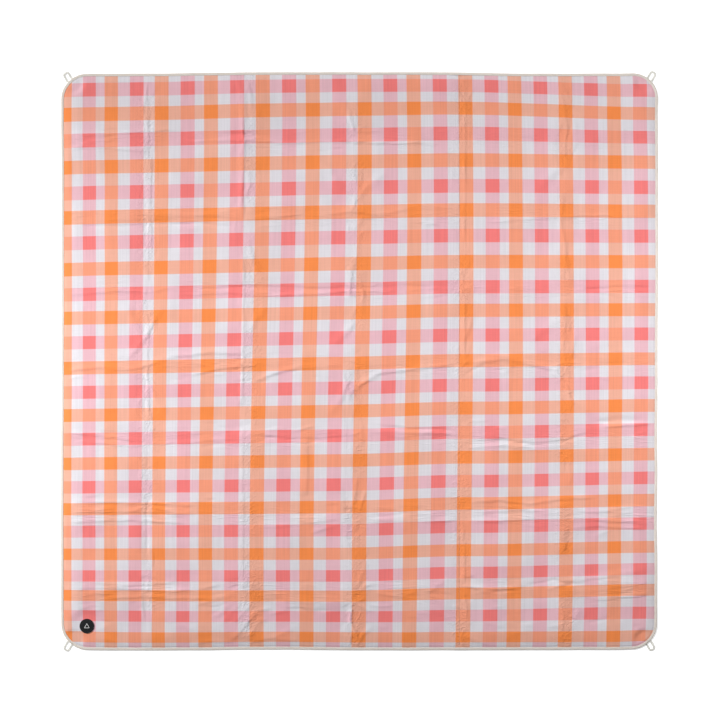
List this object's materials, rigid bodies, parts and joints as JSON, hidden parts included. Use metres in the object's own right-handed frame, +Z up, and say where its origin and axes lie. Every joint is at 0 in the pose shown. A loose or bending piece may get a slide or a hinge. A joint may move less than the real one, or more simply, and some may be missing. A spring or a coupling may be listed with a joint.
{
  "type": "camp blanket",
  "caption": "Large square lined picnic mat with a gingham print, bound edge, rounded corners, tape peg loops and a small round badge, folding in thirds.",
  "frame": {"origin": "on the ground, under the middle of the mat laid flat", "axes": "+X along the longer side, +Y along the shorter side from the near edge (with the badge) to the far edge, +Z up through the thickness"},
  "size_m": [3, 2.9184, 0.0077],
  "materials": {
    "printed_cloth": "plain-weave polyester, printed orange and pink check on off-white",
    "wadding": "thin matt white polyester wadding",
    "backing_cloth": "coated water-resistant cloth, matt with a faint sheen",
    "binding_tape": "cream-grey woven tape",
    "loop_webbing": "off-white narrow woven tape",
    "thread": "cream sewing thread",
    "badge_rubber": "black satin rubber",
    "badge_thread": "black sewing thread",
    "badge_mark": "off-white moulded rubber"
  },
  "bodies": {
    "middle": {"backing_middle": "backing_cloth", "wadding_middle": "wadding", "printed_top_wide_middle": "printed_cloth", "printed_top_narrow_middle": "printed_cloth", "binding_middle_far": "binding_tape", "binding_middle_near": "binding_tape", "binding_stitching_middle_far": "thread", "binding_stitching_middle_near": "thread", "seam_stitching": "thread"},
    "left_third": {"backing_left": "backing_cloth", "wadding_left": "wadding", "printed_top_wide_left": "printed_cloth", "binding_left": "binding_tape", "binding_stitching_left": "thread", "loop_bartack_far_left": "thread", "loop_bartack_near_left": "thread", "badge_disc": "badge_rubber", "badge_stitching": "badge_thread", "badge_mark": "badge_mark"},
    "right_third": {"backing_right": "backing_cloth", "wadding_right": "wadding", "printed_top_narrow_right": "printed_cloth", "binding_right": "binding_tape", "binding_stitching_right": "thread", "loop_bartack_far_right": "thread", "loop_bartack_near_right": "thread"},
    "loop_far_left": {"peg_loop_far_left": "loop_webbing"},
    "loop_far_right": {"peg_loop_far_right": "loop_webbing"},
    "loop_near_left": {"peg_loop_near_left": "loop_webbing"},
    "loop_near_right": {"peg_loop_near_right": "loop_webbing"}
  },
  "joints": [
    {"name": "left_third_fold", "type": "hinge", "parent": "middle", "child": "left_third", "pos_m": [-0.576, 0, 0.0166], "axis": [0, 1, 0], "range_deg": [0, 179.9]},
    {"name": "right_third_fold", "type": "hinge", "parent": "middle", "child": "right_third", "pos_m": [0.529, 0, 0.0266], "axis": [0, -1, 0], "range_deg": [0, 179.9]},
    {"name": "loop_far_left_turn", "type": "hinge", "parent": "left_third", "child": "loop_far_left", "pos_m": [-1.45699, 1.41661, 0.0035], "axis": [-0.7431, -0.6691, 0], "range_deg": [-179.9, 0]},
    {"name": "loop_far_right_turn", "type": "hinge", "parent": "right_third", "child": "loop_far_right", "pos_m": [1.45699, 1.41661, 0.0035], "axis": [-0.7431, 0.6691, 0], "range_deg": [-179.9, 0]},
    {"name": "loop_near_left_turn", "type": "hinge", "parent": "left_third", "child": "loop_near_left", "pos_m": [-1.45699, -1.41661, 0.0035], "axis": [0.7431, -0.6691, 0], "range_deg": [-179.9, 0]},
    {"name": "loop_near_right_turn", "type": "hinge", "parent": "right_third", "child": "loop_near_right", "pos_m": [1.45699, -1.41661, 0.0035], "axis": [0.7431, 0.6691, 0], "range_deg": [-179.9, 0]}
  ]
}
